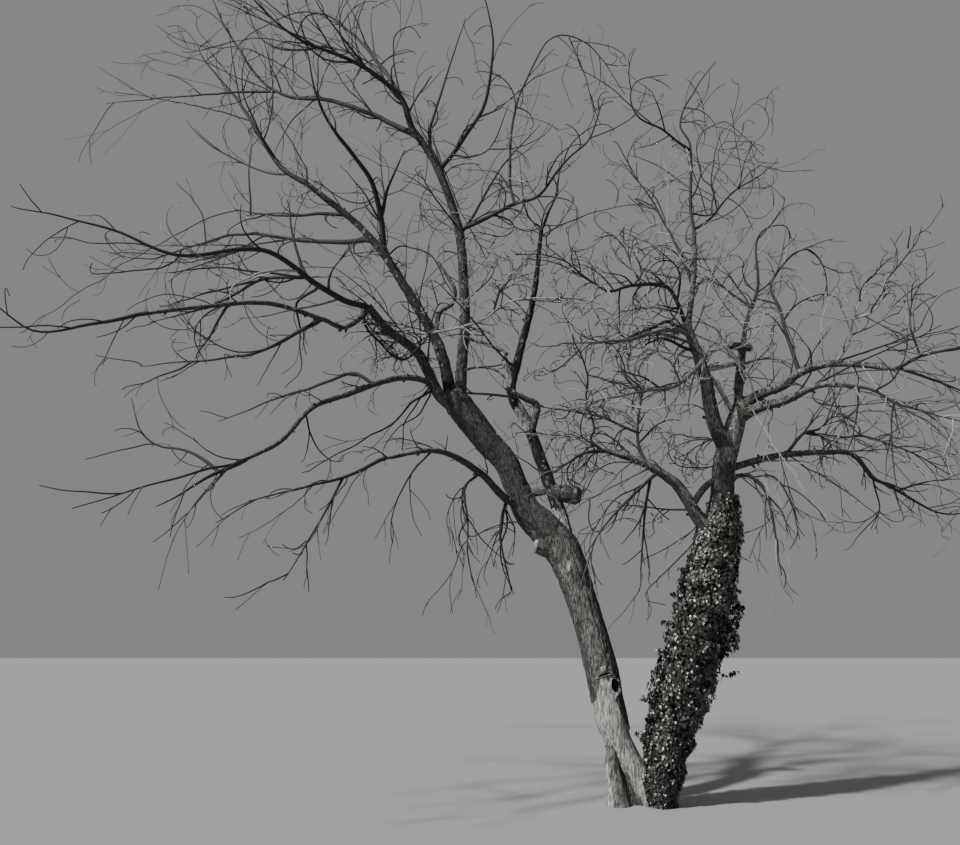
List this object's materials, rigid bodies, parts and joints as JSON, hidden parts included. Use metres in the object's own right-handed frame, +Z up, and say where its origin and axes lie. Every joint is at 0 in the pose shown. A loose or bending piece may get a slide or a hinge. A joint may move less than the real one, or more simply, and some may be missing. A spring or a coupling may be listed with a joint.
{
  "type": "dead tree",
  "caption": "Dead two-stemmed tree with bare curling boughs and twigs, broken stubs, a leaning foot cut flat at the ground, and one stem wrapped in ivy.",
  "frame": {"origin": "on the flat cut under the trunk, at ground level, in the shared foot of the two stems", "axes": "+Z is up, +X runs along the crown's widest way from the long left boughs to the right boughs, and the picture looks along +Y"},
  "size_m": [12.973, 5.6569, 11.4526],
  "materials": {
    "bark": "rough dead bark with worn pale wood",
    "twig": "bare dead twigs",
    "ivy": "glossy dark ivy leaves"
  },
  "bodies": {
    "root": {"back_left_bough": "bark", "back_left_twigs": "twig", "back_right_bough": "bark", "back_right_twigs": "twig", "broken_bough": "bark", "cross_twigs": "twig", "crown_far_left_twigs": "twig", "crown_left_twigs": "twig", "crown_right_twigs": "twig", "crown_up_twigs": "twig", "droop_left_twigs": "twig", "drooping_left_bough": "bark", "far_left_twigs": "twig", "front_curl_twigs": "twig", "front_drop_twigs": "twig", "hanging_front_twigs": "twig", "hanging_tip_twigs": "twig", "inner_left_bough": "bark", "inner_left_twigs": "twig", "inner_right_twigs": "twig", "ivy_foot": "ivy", "ivy_lower": "ivy", "ivy_side_bough": "bark", "ivy_side_hanging_twigs": "twig", "ivy_side_rise_twigs": "twig", "ivy_side_twigs": "twig", "ivy_top": "ivy", "ivy_upper": "ivy", "knob_twigs": "twig", "leader_tip_twigs": "twig", "left_leader": "bark", "left_stem": "bark", "log_stub": "bark", "low_hanging_bough": "bark", "low_left_bough": "bark", "low_left_reach": "bark", "low_reach_twigs": "twig", "lower_reach_twigs": "twig", "mid_left_twigs": "twig", "middle_left_twigs": "twig", "right_branch_twigs": "twig", "right_curl_twigs": "twig", "right_far_twigs": "twig", "right_fork_bough": "bark", "right_hanging_twigs": "twig", "right_low_bough": "bark", "right_low_rise_twigs": "twig", "right_low_twigs": "twig", "right_middle_twigs": "twig", "right_reach_bough": "bark", "right_rise_twigs": "twig", "right_second_bough": "bark", "right_second_twigs": "twig", "right_stem": "bark", "right_up_twigs": "twig", "right_upright_bough": "bark", "trunk_foot": "bark", "upper_reach_twigs": "twig", "upright_bough": "bark", "y_fork_twigs": "twig"}
  },
  "joints": []
}
